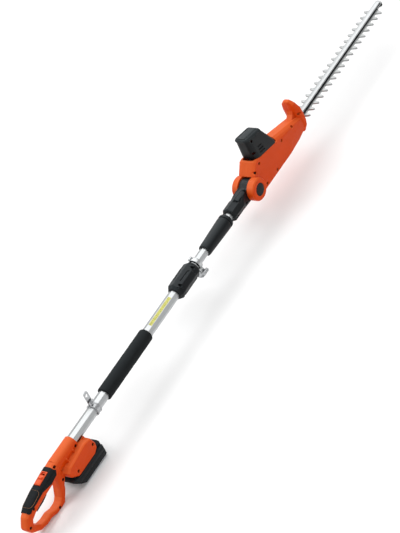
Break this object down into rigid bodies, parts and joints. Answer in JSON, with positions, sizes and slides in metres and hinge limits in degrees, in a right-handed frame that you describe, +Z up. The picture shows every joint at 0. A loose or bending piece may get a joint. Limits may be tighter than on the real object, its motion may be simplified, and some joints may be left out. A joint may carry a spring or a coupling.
{
  "type": "cordless pole hedge trimmer",
  "caption": "Cordless telescoping pole hedge trimmer with D handle, slide-on battery, foam grip, clamp collar, tilting motor head, hand guard and double-sided reciprocating blade.",
  "frame": {"origin": "centre of the bounding box along the pole and across it, on the surface the tool lies on", "axes": "+X along the pole from the handle to the blade, +Y to the user's left, +Z up, away from the battery"},
  "size_m": [1.8548, 0.072, 0.2126],
  "materials": {
    "orange_plastic": "satin moulded",
    "switch_orange": "satin",
    "black_plastic": "fine-textured matte",
    "grey_plastic": "satin",
    "rubber_pad": "matte",
    "foam": "closed-cell foam, matte",
    "tube_aluminium": "satin anodised",
    "cast_aluminium": "as cast",
    "blade_steel": "ground",
    "steel": "plated",
    "dark_steel": "black oxide",
    "label": "printed film",
    "cell_wrap": "PVC wrapped",
    "copper": "lacquered winding",
    "brass": "machined",
    "wire_red": "satin"
  },
  "bodies": {
    "handle": {"handle_shell_left": "orange_plastic", "handle_shell_right": "orange_plastic", "handle_screws": "dark_steel", "grip_pad_left": "rubber_pad", "grip_pad_right": "rubber_pad", "switch_bezel": "switch_orange", "trigger_pin": "steel", "trigger_spring": "steel", "main_switch": "grey_plastic", "terminal_block": "grey_plastic", "handle_wiring": "wire_red", "outer_tube": "tube_aluminium", "foam_grip": "foam", "label_strip": "label", "strap_bracket": "steel", "strap_screw": "steel", "coupling_shell_left": "black_plastic", "coupling_shell_right": "black_plastic", "coupling_screws": "dark_steel", "tube_bush": "black_plastic", "clamp_band": "tube_aluminium", "clamp_bolt": "steel", "clamp_pin": "steel"},
    "trigger": {"trigger": "black_plastic"},
    "lock_off_switch": {"lock_off_switch": "switch_orange"},
    "clamp_lever": {"clamp_lever": "cast_aluminium"},
    "battery": {"battery_base": "black_plastic", "battery_lid": "black_plastic", "battery_cells": "cell_wrap"},
    "battery_latch": {"battery_latch": "grey_plastic"},
    "mast": {"inner_tube": "tube_aluminium", "inner_bush": "black_plastic", "coil_lead": "foam", "union_socket": "cast_aluminium", "stub_tube": "tube_aluminium", "neck_shell_left": "black_plastic", "neck_shell_right": "black_plastic", "neck_screws": "dark_steel"},
    "lock_collar": {"lock_collar": "black_plastic"},
    "tilt_release": {"tilt_release": "grey_plastic"},
    "head": {"pivot_bolt": "steel", "pivot_caps": "black_plastic", "head_shell_left": "orange_plastic", "head_shell_right": "orange_plastic", "head_screws": "dark_steel", "motor_cover_left": "black_plastic", "motor_cover_right": "black_plastic", "motor_cap": "grey_plastic", "motor_can": "steel", "gear_plate": "cast_aluminium", "crank_bearing": "brass", "blade_bar": "tube_aluminium", "blade_bolts": "dark_steel"},
    "motor_shaft": {"armature": "copper", "motor_pinion": "steel"},
    "crank": {"crank_shaft": "steel", "drive_gear": "steel"},
    "upper_blade": {"blade_upper": "blade_steel"},
    "lower_blade": {"blade_lower": "blade_steel"}
  },
  "joints": [
    {"name": "trigger_pull", "type": "hinge", "parent": "handle", "child": "trigger", "pos_m": [-0.8295, 0, 0.074], "axis": [0, 1, 0], "range_deg": [0, 5], "stiffness_Nm_per_rad": 0.6, "springref_deg": -8.59, "deforming": ["trigger_spring"]},
    {"name": "lock_off_slide", "type": "slide", "parent": "handle", "child": "lock_off_switch", "axis": [0.9971, 0, 0.0767], "range_m": [0, 0.007], "stiffness_N_per_m": 150, "springref_m": -0.004},
    {"name": "clamp_lever_turn", "type": "hinge", "parent": "handle", "child": "clamp_lever", "pos_m": [-0.1077, -0.02093, 0.06631], "axis": [-1, 0, 0], "range_deg": [0, 120]},
    {"name": "battery_slide", "type": "slide", "parent": "handle", "child": "battery", "axis": [1, 0, 0], "range_m": [0, 0.13]},
    {"name": "battery_latch_press", "type": "slide", "parent": "battery", "child": "battery_latch", "axis": [0, 0, -1], "range_m": [0, 0.003], "stiffness_N_per_m": 300, "springref_m": -0.003},
    {"name": "mast_extend", "type": "slide", "parent": "handle", "child": "mast", "axis": [1, 0, 0], "range_m": [0, 0.45]},
    {"name": "lock_collar_turn", "type": "hinge", "parent": "mast", "child": "lock_collar", "pos_m": [-0.0055, 0, 0.088], "axis": [1, 0, 0], "range_deg": [0, 90]},
    {"name": "tilt_release_slide", "type": "slide", "parent": "mast", "child": "tilt_release", "axis": [-1, 0, 0], "range_m": [0, 0.006], "stiffness_N_per_m": 200, "springref_m": -0.004},
    {"name": "head_tilt", "type": "hinge", "parent": "mast", "child": "head", "pos_m": [0.1685, 0, 0.088], "axis": [0, -1, 0], "range_deg": [-90, 45]},
    {"name": "motor_spin", "type": "hinge", "parent": "head", "child": "motor_shaft", "pos_m": [0.2425, 0, 0.108], "axis": [0, 0, 1], "continuous": true},
    {"name": "crank_spin", "type": "hinge", "parent": "head", "child": "crank", "pos_m": [0.2641, 0, 0.108], "axis": [0, 0, 1], "continuous": true},
    {"name": "upper_blade_stroke", "type": "slide", "parent": "head", "child": "upper_blade", "axis": [1, 0, 0], "range_m": [-0.007, 0.007]},
    {"name": "lower_blade_stroke", "type": "slide", "parent": "head", "child": "lower_blade", "axis": [1, 0, 0], "range_m": [-0.007, 0.007]}
  ],
  "couplings": [
    {"joint": "motor_spin", "follows": "crank_spin", "ratio": -4.4},
    {"joint": "lower_blade_stroke", "follows": "upper_blade_stroke", "ratio": -1}
  ]
}
